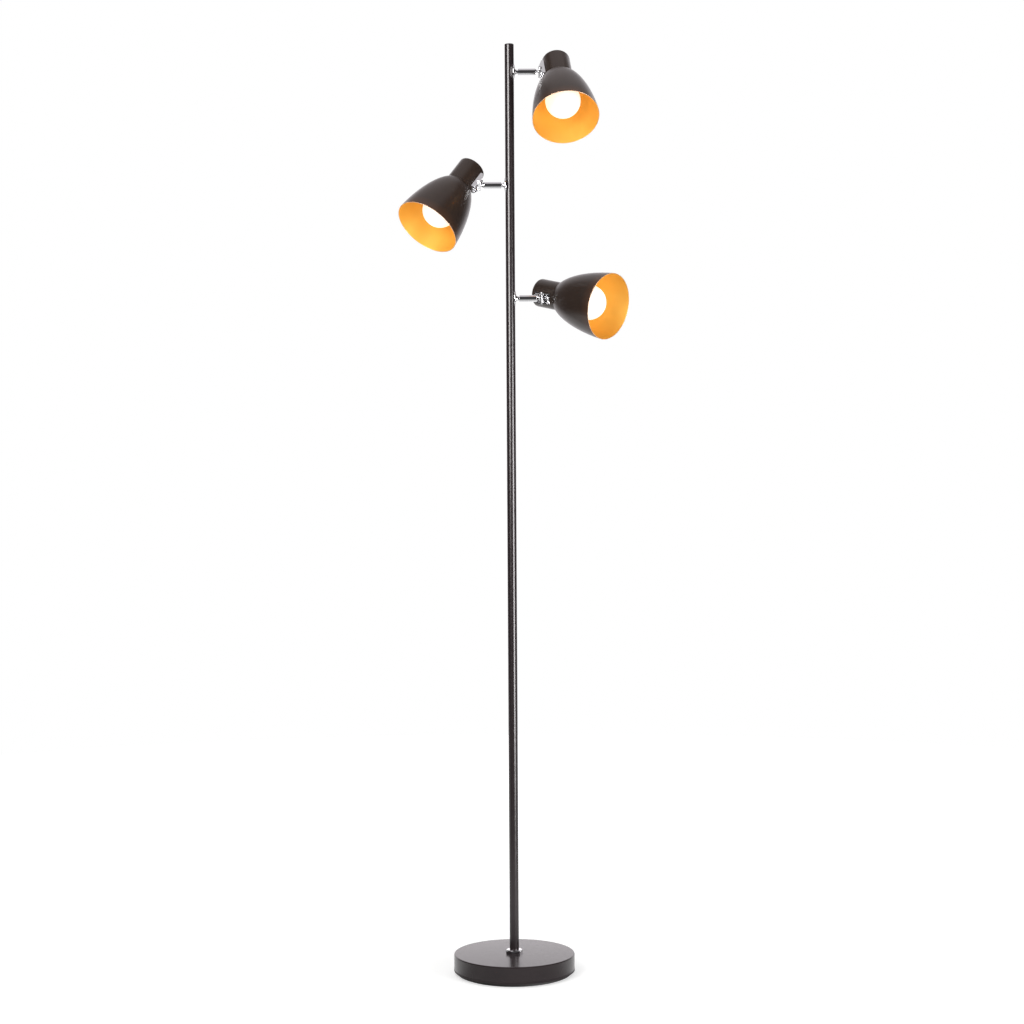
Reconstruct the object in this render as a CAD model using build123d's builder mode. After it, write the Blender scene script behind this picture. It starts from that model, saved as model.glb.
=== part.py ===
from build123d import *

import math
import os

os.makedirs("parts", exist_ok=True)

# Sizes are in millimetres. The origin is on the floor, on the pole's axis. +Z is up, +X is the side
# of the top and bottom heads, and -Y is the side that the shades face.

# ---- Driving sizes: fits ----
seat_gap = 0.05          # radial room of a piece that is pressed or screwed into its seat
running_gap = 0.06       # radial room of a shaft that turns in its bore
face_gap = 0.3           # room between faces that turn past each other

# ---- Driving sizes: base ----
pad_inset = 4.0          # of the pad's edge, inside the plate's
pad_thickness = 1.5
plate_inset = 6.0        # of the plate's edge, inside the cover's
plate_thickness = 4.5
plate_rim_thickness = 2.0
plate_boss_radius = 7.0
plate_screw_circle_radius = 62.0
plate_screw_count = 3
plate_screw_turn = 30.0  # degrees from the X axis to the first
cover_radius = 104.0
cover_height = 29.0
cover_wall = 1.5
cover_edge_radius = 2.0
weight_inset = 3.0       # of the weight's edge, inside the cover's wall
weight_thickness = 16.0
weight_pocket_radius = 15.0
weight_pocket_depth = 7.0
gland_height = 14.5
gland_radius = 4.6
gland_flange_radius = 6.2
gland_flange_thickness = 1.6
plate_screw_radius = 2.0
plate_screw_head_radius = 3.8
plate_screw_head_height = 2.2
plate_screw_bite = 8.0
plate_screw_hole_room = 1.0

# ---- Driving sizes: pole ----
overall_height = 1600.0
pole_radius = 8.0
pole_wall = 1.1
lower_section = 515.0
upper_joint_drop = 80.5  # from the bottom arm to the joint below it
coupler_length = 50.0
coupler_bore = 5.2
cap_height = 2.5
cap_spigot = 10.0
cap_edge_radius = 1.2
foot_nut_width = 25.0    # across the flats
foot_nut_height = 6.0
foot_nut_bevel = 1.2     # height of the turned corners
foot_nut_turn = 10.0     # degrees from a corner on the X axis
foot_insert_length = 20.0
stud_radius = 5.0
stud_bore = 2.7
stud_nut_width = 17.0
stud_nut_height = 4.5
stud_tail = 1.0
lead_radius = 1.9
lead_bend = 6.2          # where it turns up into the stud
lead_bend_share = 0.45   # of the shorter run, at each other bend
lead_wall_room = 0.25    # between the lead and the pole's wall, where it passes an arm's nut
lead_drop_start = 83.0   # from the pole's axis, where the lead leaves the gland's height
lead_drop_end = 57.0     # and where it reaches the bottom of its run
lead_straight = 32.0     # below and above an arm's nut
lead_tail = 4.0          # past the top arm's axis

# ---- Driving sizes: arms ----
top_arm_drop = 48.5      # from the lamp's top to the top arm
arm_spacing = 195.0
rosette_radius = 14.0
rosette_rim = 3.3        # thickness of the bead round the rosette
rosette_wrap = 2.0       # how far the rosette reaches round the pole
rosette_bead_width = 2.6
rosette_bead_round = 1.2
rosette_groove = 0.8
hub_root_radius = 8.5
hub_radius = 4.8
neck_radius = 3.9
neck_end = 15.0
arm_radius = 6.0
arm_end = 44.5
arm_chamfer = 0.6
taper_length = 4.0
stem_radius = 2.6
pivot_reach = 53.0       # from the pole's axis to the hinge
barrel_radius = 3.4
swivel_stud_radius = 3.0
swivel_stud_bite = 12.0  # how far the stud is screwed into the arm
wire_bore = 1.9
swivel_nut_width = 8.0
swivel_nut_height = 3.0
bush_radius = 4.4
bush_flange_radius = 5.2
bush_flange_thickness = 1.2
bush_depth = 6.3         # from the pole's outer face to the bush's inner face
wire_radius = 0.85
wire_spacing = 1.8
arm_wires_end = 51.3      # from the pole's axis

# ---- Driving sizes: shade, bracket and lampholder ----
shade_length = 151.1
shade_wall = 0.9
shade_neck_radius = 24.3
shade_neck_length = 47.1
shade_rim_radius = 57.0
shade_end_radius = 3.0
flare_handle_along = 13.8      # from the neck's end to the curve's first handle
flare_handle_out = 14.6
mouth_handle_back = 49.7       # from the rim to its second handle
mouth_handle_in = 4.15
pivot_height = 6.0             # from the neck's surface to the hinge
pivot_from_end = 28.0          # from the neck's closed end to the hinge
bracket_length = 33.0
bracket_shift = 3.0            # of its middle, from the hinge towards the neck's closed end
bracket_width = 19.0
bracket_wall = 1.2
ear_height = 4.0               # of the ears' low ends, above the neck's flank
ear_radius = 3.0
hinge_screw_radius = 1.5
hinge_screw_head_radius = 2.8
hinge_screw_head_height = 1.6
hinge_screw_bite = 4.4         # of each hinge screw in the arm's barrel
bracket_screw_radius = 1.5
bracket_screw_head_radius = 2.6
bracket_screw_head_height = 1.7
bracket_screw_spread = 26.0
bracket_screw_bite = 8.0
slot_width = 0.8
slot_depth = 0.7
wire_hole_offset = 6.0         # of the wire hole, from the hinge towards the closed end
holder_wires_end = 8.0         # short of the shade's axis
holder_radius = 20.0
holder_start = 6.0             # from the neck's closed end to the holder's back
holder_length = 49.0
holder_floor_end = 28.6        # from the neck's closed end to the floor of the socket
holder_floor = 3.1
holder_lug_width = 14.0
holder_lug_end_room = 3.5
socket_bore = 14.1
terminal_radius = 16.0
sleeve_wall = 0.5
sleeve_start = 4.4             # from the socket's floor to the sleeve
sleeve_length = 21.0
contact_radius = 4.0
contact_thickness = 1.1

# ---- Driving sizes: bulb ----
bulb_tip = 1.4                 # from the socket's floor to the bulb's centre contact
bulb_cap_radius = 13.2
bulb_cap_wall = 0.6
bulb_cap_length = 26.0
bulb_cap_floor = 1.8
bulb_thread_start = 5.0        # from the cap's tip
bulb_thread_depth = 0.5
bulb_thread_pitch = 3.6
bulb_tip_radius = 4.7
bulb_globe_radius = 30.0
bulb_globe_wall = 1.2
bulb_length = 108.1
bulb_shoulder_radius = 14.6
bulb_spigot_length = 5.4       # of the shell inside the cap
bulb_flare_angle = 50.0        # where the flare meets the globe, from the bulb's axis
bulb_flare_handle = 12.0       # of the flare's curve, at both ends

# Each head: its side of the pole, its turn about the arm from hanging straight down, and the angle
# between the arm and the direction that the shade faces. Both angles are in degrees.
heads = {
    "top": (1, 39.5, 84.5),
    "middle": (-1, 32.0, 59.8),
    "bottom": (1, 70.5, 40.7),
}

# ---- Heights and places that follow from them ----
plate_radius = cover_radius - plate_inset
pad_radius = plate_radius - pad_inset
plate_bottom = pad_thickness
cover_bottom = plate_bottom + plate_thickness
plate_top = cover_bottom + plate_rim_thickness
cover_top = cover_bottom + cover_height
weight_top = cover_top - cover_wall
weight_bottom = weight_top - weight_thickness
pocket_top = weight_bottom + weight_pocket_depth
cover_inner_radius = cover_radius - cover_wall
stud_nut_bottom = pocket_top - stud_nut_height
stud_bottom = stud_nut_bottom - stud_tail
pole_bottom = cover_top + foot_nut_height
pole_bore = pole_radius - pole_wall
first_joint = pole_bottom + lower_section
pole_top = overall_height - cap_height
arm_heights = [overall_height - top_arm_drop - i * arm_spacing for i in range(len(heads))]
second_joint = arm_heights[-1] - upper_joint_drop
rosette_back = pole_radius - rosette_wrap
rosette_front = rosette_back + rosette_rim
groove_floor = rosette_front - rosette_groove
hub_end = groove_floor + hub_root_radius - hub_radius
neck_start = hub_end + face_gap
bush_end = math.sqrt(pole_radius**2 - bush_radius**2) - seat_gap
bush_inner = pole_radius - bush_depth
swivel_nut_end = bush_inner - face_gap
swivel_nut_start = swivel_nut_end - swivel_nut_height
swivel_stud_start = swivel_nut_start - seat_gap
swivel_stud_end = neck_end + swivel_stud_bite
stem_start = arm_end + taper_length
shade_axis = pivot_height + shade_neck_radius
neck_inner_radius = shade_neck_radius - shade_wall
plate_face = pivot_height - seat_gap - bracket_wall
ear_inner = bracket_width / 2 - bracket_wall
barrel_half = ear_inner - face_gap
lead_offset = pole_bore - lead_radius - lead_wall_room


def copies_of(piece, name, places):
    """Writes a piece once for each head, at that head's place."""
    for head, place in places.items():
        copy = piece.part.moved(place)
        copy.label = f"{name}_{head}"
        export_step(copy, f"parts/{name}_{head}.step")


def save(piece, name):
    piece.part.label = name
    export_step(piece.part, f"parts/{name}.step")


# Where each arm and each head goes. An arm is modelled along +X from the pole's axis, and a head
# with its hinge at the origin along Y, its shade hanging down -Z on the far side from the pole.
arm_places = {}
swivel_places = {}
head_places = {}
for height, (head, (side, swivel, tilt)) in zip(arm_heights, heads.items()):
    socket = Location((0, 0, height), (0, 0, 0 if side > 0 else 180))
    turn = Location((0, 0, 0), (-side * swivel, 0, 0))
    hinge = Location((pivot_reach, 0, 0), (0, tilt - 90, 0))
    arm_places[head] = socket
    swivel_places[head] = socket * turn
    head_places[head] = socket * turn * hinge

# ================= Base =================

with BuildPart() as floor_pad:
    with BuildSketch():
        Circle(pad_radius)
    extrude(amount=pad_thickness)
save(floor_pad, "floor_pad")

# The bottom plate: a disc with a wider rim that lies inside the cover, and three bosses that reach
# up to the weight. Its screws go up through the bosses.
boss_height = weight_bottom - plate_top
with BuildPart() as base_plate:
    with BuildSketch(Plane.XY.offset(plate_bottom)):
        Circle(plate_radius)
    extrude(amount=plate_thickness)
    with BuildSketch(Plane.XY.offset(cover_bottom)):
        Circle(cover_inner_radius - face_gap)
    extrude(amount=plate_rim_thickness)
    with BuildSketch(Plane.XY.offset(plate_top)):
        with PolarLocations(plate_screw_circle_radius, plate_screw_count, plate_screw_turn):
            Circle(plate_boss_radius)
    extrude(amount=boss_height)
    with BuildSketch(Plane.XY.offset(plate_bottom)):
        with PolarLocations(plate_screw_circle_radius, plate_screw_count, plate_screw_turn):
            Circle(plate_screw_head_radius + face_gap)
    extrude(amount=plate_screw_head_height + face_gap, mode=Mode.SUBTRACT)
    with BuildSketch(Plane.XY.offset(plate_bottom)):
        with PolarLocations(plate_screw_circle_radius, plate_screw_count, plate_screw_turn):
            Circle(plate_screw_radius + seat_gap)
    extrude(amount=weight_bottom - plate_bottom, mode=Mode.SUBTRACT)
save(base_plate, "base_plate")

with BuildPart() as plate_screws:
    with BuildSketch(Plane.XY.offset(plate_bottom + face_gap)):
        with PolarLocations(plate_screw_circle_radius, plate_screw_count, plate_screw_turn):
            Circle(plate_screw_head_radius)
    extrude(amount=plate_screw_head_height)
    with BuildSketch(Plane.XY.offset(plate_bottom + face_gap + plate_screw_head_height)):
        with PolarLocations(plate_screw_circle_radius, plate_screw_count, plate_screw_turn):
            Circle(plate_screw_radius)
    extrude(amount=weight_bottom + plate_screw_bite - plate_bottom - face_gap - plate_screw_head_height)
    with BuildSketch(Plane.XY.offset(plate_bottom + face_gap)):
        with PolarLocations(plate_screw_circle_radius, plate_screw_count, plate_screw_turn):
            Rectangle(2 * plate_screw_head_radius + seat_gap, slot_width)
    extrude(amount=slot_depth, mode=Mode.SUBTRACT)
save(plate_screws, "plate_screws")

# The cast weight hangs on the threaded stud, close under the cover's top.
with BuildPart() as base_weight:
    with BuildSketch(Plane.XY.offset(weight_bottom)):
        Circle(cover_inner_radius - weight_inset)
    extrude(amount=weight_thickness)
    with BuildSketch(Plane.XY.offset(weight_bottom)):
        Circle(weight_pocket_radius)
    extrude(amount=weight_pocket_depth, mode=Mode.SUBTRACT)
    with BuildSketch(Plane.XY.offset(weight_bottom)):
        Circle(stud_radius + seat_gap)
    extrude(amount=weight_thickness, mode=Mode.SUBTRACT)
    with BuildSketch(Plane.XY.offset(weight_bottom)):
        with PolarLocations(plate_screw_circle_radius, plate_screw_count, plate_screw_turn):
            Circle(plate_screw_radius + seat_gap)
    extrude(amount=plate_screw_bite + plate_screw_hole_room, mode=Mode.SUBTRACT)
save(base_weight, "base_weight")

# The pressed cover, with the hole for the stud on top and the gland's hole at the back.
with BuildPart() as base_cover:
    with BuildSketch(Plane.XZ):
        with BuildLine():
            Polyline(
                (stud_radius + seat_gap, weight_top),
                (stud_radius + seat_gap, cover_top),
                (cover_radius - cover_edge_radius, cover_top),
            )
            CenterArc(
                (cover_radius - cover_edge_radius, cover_top - cover_edge_radius),
                cover_edge_radius,
                90,
                -90,
            )
            Polyline(
                (cover_radius, cover_top - cover_edge_radius),
                (cover_radius, cover_bottom),
                (cover_inner_radius, cover_bottom),
                (cover_inner_radius, cover_top - cover_edge_radius),
            )
            CenterArc(
                (cover_radius - cover_edge_radius, cover_top - cover_edge_radius),
                cover_edge_radius - cover_wall,
                0,
                90,
            )
            Line(
                (cover_radius - cover_edge_radius, weight_top),
                (stud_radius + seat_gap, weight_top),
            )
        make_face()
    revolve(axis=Axis.Z)
    with BuildSketch(Plane.XZ.offset(-cover_radius - cover_wall)):
        with Locations((0, gland_height)):
            Circle(gland_radius + seat_gap)
    extrude(amount=3 * cover_wall, mode=Mode.SUBTRACT)
save(base_cover, "base_cover")

# The rubber gland: a bush with a flange on each side of the cover's wall.
gland_outer = cover_radius + gland_flange_thickness
gland_inner = math.sqrt(cover_inner_radius**2 - gland_flange_radius**2) - seat_gap
gland_length = gland_outer - gland_inner + gland_flange_thickness
with BuildPart() as cord_gland:
    with BuildSketch(Plane.XZ.offset(-gland_outer)):
        with Locations((0, gland_height)):
            Circle(gland_flange_radius)
    extrude(amount=gland_length)
    with BuildSketch(Plane.XY.offset(cover_bottom)):
        Circle(cover_radius + seat_gap)
        Circle(cover_inner_radius - seat_gap, mode=Mode.SUBTRACT)
    extrude(amount=cover_height, mode=Mode.SUBTRACT)
    with BuildSketch(Plane.XZ.offset(-gland_outer)):
        with Locations((0, gland_height)):
            Circle(gland_radius)
    extrude(amount=gland_length)
    with BuildSketch(Plane.XZ.offset(-gland_outer)):
        with Locations((0, gland_height)):
            Circle(lead_radius + seat_gap)
    extrude(amount=gland_length, mode=Mode.SUBTRACT)
save(cord_gland, "cord_gland")

# The hollow threaded stud holds pole, cover and weight together.
with BuildPart() as base_stud:
    with BuildSketch(Plane.XY.offset(stud_bottom)):
        Circle(stud_radius)
        Circle(stud_bore, mode=Mode.SUBTRACT)
    extrude(amount=pole_bottom + foot_insert_length - stud_bottom)
save(base_stud, "base_stud")

with BuildPart() as stud_nut:
    with BuildSketch(Plane.XY.offset(stud_nut_bottom)):
        RegularPolygon(stud_nut_width / 2, 6, major_radius=False)
        Circle(stud_radius + seat_gap, mode=Mode.SUBTRACT)
    extrude(amount=stud_nut_height)
save(stud_nut, "stud_nut")

# The chrome nut at the foot of the pole, with its top corners turned off.
foot_nut_corner = foot_nut_width / math.sqrt(3)
with BuildPart() as foot_nut:
    with BuildSketch(Plane.XY.offset(cover_top)):
        RegularPolygon(foot_nut_width / 2, 6, major_radius=False, rotation=foot_nut_turn)
        Circle(stud_radius + seat_gap, mode=Mode.SUBTRACT)
    extrude(amount=foot_nut_height)
    with BuildSketch(Plane.XZ, mode=Mode.PRIVATE) as turned_blank:
        with BuildLine():
            Polyline(
                (0, cover_top),
                (foot_nut_corner, cover_top),
                (foot_nut_corner, pole_bottom - foot_nut_bevel),
                (foot_nut_width / 2, pole_bottom),
                (0, pole_bottom),
                close=True,
            )
        make_face()
    revolve(turned_blank.sketch, axis=Axis.Z, mode=Mode.INTERSECT)
save(foot_nut, "foot_nut")

# ================= Pole =================

with BuildPart() as foot_insert:
    with BuildSketch(Plane.XY.offset(pole_bottom)):
        Circle(pole_bore - seat_gap)
        Circle(stud_radius + seat_gap, mode=Mode.SUBTRACT)
    extrude(amount=foot_insert_length)
save(foot_insert, "foot_insert")

for name, bottom, top in (
    ("pole_lower", pole_bottom, first_joint),
    ("pole_middle", first_joint, second_joint),
    ("pole_upper", second_joint, pole_top),
):
    with BuildPart() as section:
        with BuildSketch(Plane.XY.offset(bottom)):
            Circle(pole_radius)
            Circle(pole_bore, mode=Mode.SUBTRACT)
        extrude(amount=top - bottom)
        # A hole for each arm's bush, where the arm is on this section.
        for height, (side, swivel, tilt) in zip(arm_heights, heads.values()):
            if bottom < height < top:
                with BuildSketch(Plane.YZ):
                    with Locations((0, height)):
                        Circle(bush_radius + seat_gap)
                extrude(amount=side * pole_radius, mode=Mode.SUBTRACT)
    save(section, name)

with BuildPart() as pole_couplers:
    for joint in (first_joint, second_joint):
        with BuildSketch(Plane.XY.offset(joint - coupler_length / 2)):
            Circle(pole_bore - seat_gap)
            Circle(coupler_bore, mode=Mode.SUBTRACT)
        extrude(amount=coupler_length)
save(pole_couplers, "pole_couplers")

with BuildPart() as pole_cap:
    with BuildSketch(Plane.XY.offset(pole_top)):
        Circle(pole_radius)
    extrude(amount=cap_height)
    fillet(pole_cap.edges().group_by(Axis.Z)[-1], cap_edge_radius)
    with BuildSketch(Plane.XY.offset(pole_top)):
        Circle(pole_bore - seat_gap)
    extrude(amount=-cap_spigot)
save(pole_cap, "pole_cap")

# The supply lead: in at the gland, under the weight, up the stud and the pole, and past each arm's
# nut on the side where there is room.
lead_low = stud_bottom - lead_bend
top_arm, middle_arm, bottom_arm = arm_heights
shift_run = arm_spacing / 3
lead_points = [
    (0, gland_outer, gland_height),
    (0, lead_drop_start, gland_height),
    (0, lead_drop_end, lead_low),
    (0, 0, lead_low),
    (0, 0, second_joint + coupler_length / 2),
    (-lead_offset, 0, bottom_arm - lead_straight),
    (-lead_offset, 0, bottom_arm + lead_straight),
    (lead_offset, 0, middle_arm - shift_run / 2),
    (lead_offset, 0, middle_arm + shift_run / 2),
    (-lead_offset, 0, top_arm - lead_straight),
    (-lead_offset, 0, top_arm + lead_tail),
]


def largest_bend(before, corner, after):
    """The radius of an arc at a corner that takes its share of the shorter run."""
    one = Vector(corner) - Vector(before)
    two = Vector(after) - Vector(corner)
    turn = math.radians(one.get_angle(two))
    return lead_bend_share * min(one.length, two.length) / math.tan(turn / 2)


lead_bends = [largest_bend(*lead_points[i - 1 : i + 2]) for i in range(1, len(lead_points) - 1)]
lead_bends[2] = lead_bend
with BuildPart() as supply_lead:
    with BuildLine() as route:
        FilletPolyline(*lead_points, radius=lead_bends)
    with BuildSketch(Plane(origin=route.line @ 0, z_dir=route.line % 0)):
        Circle(lead_radius)
    sweep()
save(supply_lead, "supply_lead")
print("lead bends", [round(r, 1) for r in lead_bends])
lead_length = sum(edge.length for edge in route.edges())
print("lead volume", supply_lead.part.volume, math.pi * lead_radius**2 * lead_length)

# ================= Arms =================

# The rosette: a thick washer whose back is hollowed to fit the pole, with a beaded rim, a groove and
# a trumpet hub in front.
with BuildPart() as rosette:
    with BuildSketch(Plane.XZ) as rosette_profile:
        with BuildLine():
            Polyline(
                (hub_end, hub_radius),
                (hub_end, swivel_stud_radius + running_gap),
                (rosette_back, swivel_stud_radius + running_gap),
                (rosette_back, rosette_radius),
                (rosette_front, rosette_radius),
                (rosette_front, rosette_radius - rosette_bead_width),
                (groove_floor, rosette_radius - rosette_bead_width),
                (groove_floor, hub_root_radius),
            )
            CenterArc((hub_end, hub_root_radius), hub_root_radius - hub_radius, 180, 90)
        make_face()
        fillet(rosette_profile.vertices().group_by(Axis.Y)[-1], rosette_bead_round)
    revolve(axis=Axis.X)
    Cylinder(pole_radius + seat_gap, 3 * rosette_radius, mode=Mode.SUBTRACT)
copies_of(rosette, "rosette", arm_places)

# The bush in the pole's wall, flanged inside the pole: one for each arm, alike, as one node.
with BuildPart() as bush:
    with BuildSketch(Plane.YZ.offset(bush_inner)):
        Circle(bush_flange_radius)
    extrude(amount=bush_flange_thickness)
    with BuildSketch(Plane.YZ.offset(bush_inner)):
        Circle(bush_radius)
    extrude(amount=bush_end - bush_inner)
    with BuildSketch(Plane.YZ.offset(bush_inner)):
        Circle(swivel_stud_radius + running_gap)
    extrude(amount=bush_end - bush_inner, mode=Mode.SUBTRACT)
bushes = Compound(label="pole_bushes", children=[bush.part.moved(p) for p in arm_places.values()])
export_step(bushes, "parts/pole_bushes.step")

# The hollow stud that the arm turns on: the wires pass through it.
with BuildPart() as swivel_stud:
    with BuildSketch(Plane.YZ.offset(swivel_stud_start)):
        Circle(swivel_stud_radius)
        Circle(wire_bore, mode=Mode.SUBTRACT)
    extrude(amount=swivel_stud_end - swivel_stud_start)
copies_of(swivel_stud, "swivel_stud", swivel_places)

with BuildPart() as swivel_nut:
    with BuildSketch(Plane.YZ.offset(swivel_nut_start)):
        RegularPolygon(swivel_nut_width / 2, 6, major_radius=False)
        Circle(swivel_stud_radius + seat_gap, mode=Mode.SUBTRACT)
    extrude(amount=swivel_nut_height)
copies_of(swivel_nut, "swivel_nut", swivel_places)

# The arm: a turned bar with a thin neck, a taper and a stem, and across its end the hinge barrel,
# which is hollow in the middle and slotted towards the shade for the wires.
with BuildPart() as arm:
    with BuildSketch(Plane.XZ):
        with BuildLine():
            Polyline(
                (neck_start, 0),
                (neck_start, neck_radius),
                (neck_end, neck_radius),
                (neck_end, arm_radius - arm_chamfer),
                (neck_end + arm_chamfer, arm_radius),
                (arm_end, arm_radius),
                (stem_start, stem_radius),
                (pivot_reach, stem_radius),
                (pivot_reach, 0),
                close=True,
            )
        make_face()
    revolve(axis=Axis.X)
    with BuildSketch(Plane.XZ.offset(-barrel_half)):
        with Locations((pivot_reach, 0)):
            Circle(barrel_radius)
    extrude(amount=2 * barrel_half)
    with BuildSketch(Plane.YZ.offset(neck_start)):
        Circle(swivel_stud_radius + seat_gap)
    extrude(amount=swivel_stud_end + seat_gap - neck_start, mode=Mode.SUBTRACT)
    with BuildSketch(Plane.YZ.offset(neck_start)):
        Circle(wire_bore)
    extrude(amount=pivot_reach - neck_start, mode=Mode.SUBTRACT)
    with BuildSketch(Plane.YZ.offset(pivot_reach)):
        Rectangle(2 * wire_bore, 2 * wire_bore)
    extrude(amount=barrel_radius, mode=Mode.SUBTRACT)
    with BuildSketch(Plane.XZ.offset(-barrel_half)):
        with Locations((pivot_reach, 0)):
            Circle(hinge_screw_radius + running_gap)
    extrude(amount=2 * barrel_half, mode=Mode.SUBTRACT)
copies_of(arm, "arm", swivel_places)

with BuildPart() as arm_wires:
    with BuildSketch(Plane.YZ.offset(swivel_stud_start - seat_gap)):
        with GridLocations(wire_spacing, 0, 2, 1):
            Circle(wire_radius)
    extrude(amount=arm_wires_end - swivel_stud_start + seat_gap)
copies_of(arm_wires, "arm_wires", swivel_places)

# ================= Heads =================

shade_line = Axis((shade_axis, 0, 0), (0, 0, 1))


def along(from_end, radius):
    """A profile point at a distance from the neck's closed end and a radius from the shade's axis."""
    return (shade_axis + radius, pivot_from_end - from_end)


# The shade: a spun bell of one wall, with a straight neck that is closed at its end.
def bell_curve(inset):
    return [
        along(shade_neck_length, shade_neck_radius - inset),
        along(shade_neck_length + flare_handle_along, shade_neck_radius + flare_handle_out - inset),
        along(shade_length - mouth_handle_back, shade_rim_radius - mouth_handle_in - inset),
        along(shade_length, shade_rim_radius - inset),
    ]


screw_heights = [bracket_shift + bracket_screw_spread / 2, bracket_shift - bracket_screw_spread / 2]
outside = bell_curve(0)
inside = bell_curve(shade_wall)
end_centre = along(shade_end_radius, shade_neck_radius - shade_end_radius)
with BuildPart() as shade:
    with BuildSketch(Plane.XZ):
        with BuildLine():
            Line(along(0, 0), along(0, shade_neck_radius - shade_end_radius))
            CenterArc(end_centre, shade_end_radius, 90, -90)
            Line(along(shade_end_radius, shade_neck_radius), outside[0])
            Bezier(*outside)
            Line(outside[-1], inside[-1])
            Bezier(*inside[::-1])
            Line(inside[0], along(shade_end_radius, neck_inner_radius))
            CenterArc(end_centre, shade_end_radius - shade_wall, 0, 90)
            Polyline(
                along(shade_wall, shade_neck_radius - shade_end_radius),
                along(shade_wall, 0),
                along(0, 0),
            )
        make_face()
    revolve(axis=shade_line)
    with BuildSketch(Plane.YZ):
        for height in screw_heights:
            with Locations((0, height)):
                Circle(bracket_screw_radius + seat_gap)
        with Locations((0, wire_hole_offset)):
            Circle(wire_bore)
    extrude(amount=shade_axis, mode=Mode.SUBTRACT)
copies_of(shade, "shade", head_places)

# The bracket: a channel on the neck, with two ears that carry the hinge screws.
ear_foot = shade_axis - math.sqrt(shade_neck_radius**2 - (bracket_width / 2) ** 2)
bracket_low = bracket_shift - bracket_length / 2
with BuildPart() as bracket:
    with BuildSketch(Plane.XY.offset(bracket_low)):
        with Locations((shade_axis, 0)):
            Circle(shade_neck_radius + seat_gap + bracket_wall)
            Circle(shade_neck_radius + seat_gap, mode=Mode.SUBTRACT)
        with Locations((shade_axis - shade_neck_radius, 0)):
            Rectangle(shade_neck_radius, bracket_width, mode=Mode.INTERSECT)
    extrude(amount=bracket_length)
    with BuildSketch(Plane.XZ.offset(-bracket_width / 2)) as ear:
        Circle(ear_radius)
        with Locations((ear_foot - ear_height / 2, bracket_shift)):
            Rectangle(ear_height, bracket_length)
        make_hull()
    extrude(amount=bracket_wall)
    with BuildSketch(Plane.XZ.offset(ear_inner)):
        add(ear.sketch_local)
    extrude(amount=bracket_wall)
    with BuildSketch(Plane.XZ.offset(-bracket_width / 2)):
        Circle(hinge_screw_radius + seat_gap)
    extrude(amount=bracket_width, mode=Mode.SUBTRACT)
    with BuildSketch(Plane.XY.offset(bracket_low)):
        with Locations((shade_axis, 0)):
            Circle(shade_neck_radius + seat_gap)
    extrude(amount=bracket_length, mode=Mode.SUBTRACT)
    with BuildSketch(Plane.YZ):
        for height in screw_heights:
            with Locations((0, height)):
                Circle(bracket_screw_radius + seat_gap)
        with Locations((0, wire_hole_offset)):
            Circle(wire_bore)
    extrude(amount=shade_axis, mode=Mode.SUBTRACT)
copies_of(bracket, "bracket", head_places)

# Two hinge screws, one through each ear into the barrel's end.
hinge_tip = barrel_half - hinge_screw_bite
head_face = bracket_width / 2 + hinge_screw_head_height
with BuildPart() as hinge_screws:
    for side in (1, -1):
        with BuildSketch(Plane.XZ.offset(side * hinge_tip)):
            Circle(hinge_screw_radius)
        extrude(amount=side * (bracket_width / 2 - hinge_tip))
        with BuildSketch(Plane.XZ.offset(side * bracket_width / 2)):
            Circle(hinge_screw_head_radius)
        extrude(amount=side * hinge_screw_head_height)
        with BuildSketch(Plane.XZ.offset(side * head_face)):
            Rectangle(2 * hinge_screw_head_radius + seat_gap, slot_width)
        extrude(amount=-side * slot_depth, mode=Mode.SUBTRACT)
copies_of(hinge_screws, "hinge_screws", head_places)

# Two screws hold bracket, neck and lampholder together.
screw_tip = shade_axis - neck_inner_radius + bracket_screw_bite
with BuildPart() as bracket_screws:
    for height in screw_heights:
        with BuildSketch(Plane.YZ.offset(plate_face)):
            with Locations((0, height)):
                Circle(bracket_screw_head_radius)
        extrude(amount=-bracket_screw_head_height)
        with BuildSketch(Plane.YZ.offset(plate_face)):
            with Locations((0, height)):
                Circle(bracket_screw_radius)
        extrude(amount=screw_tip - plate_face)
        with BuildSketch(Plane.YZ.offset(plate_face - bracket_screw_head_height)):
            with Locations((0, height)):
                Rectangle(slot_width, 2 * bracket_screw_head_radius + seat_gap)
        extrude(amount=slot_depth, mode=Mode.SUBTRACT)
copies_of(bracket_screws, "bracket_screws", head_places)

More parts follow.
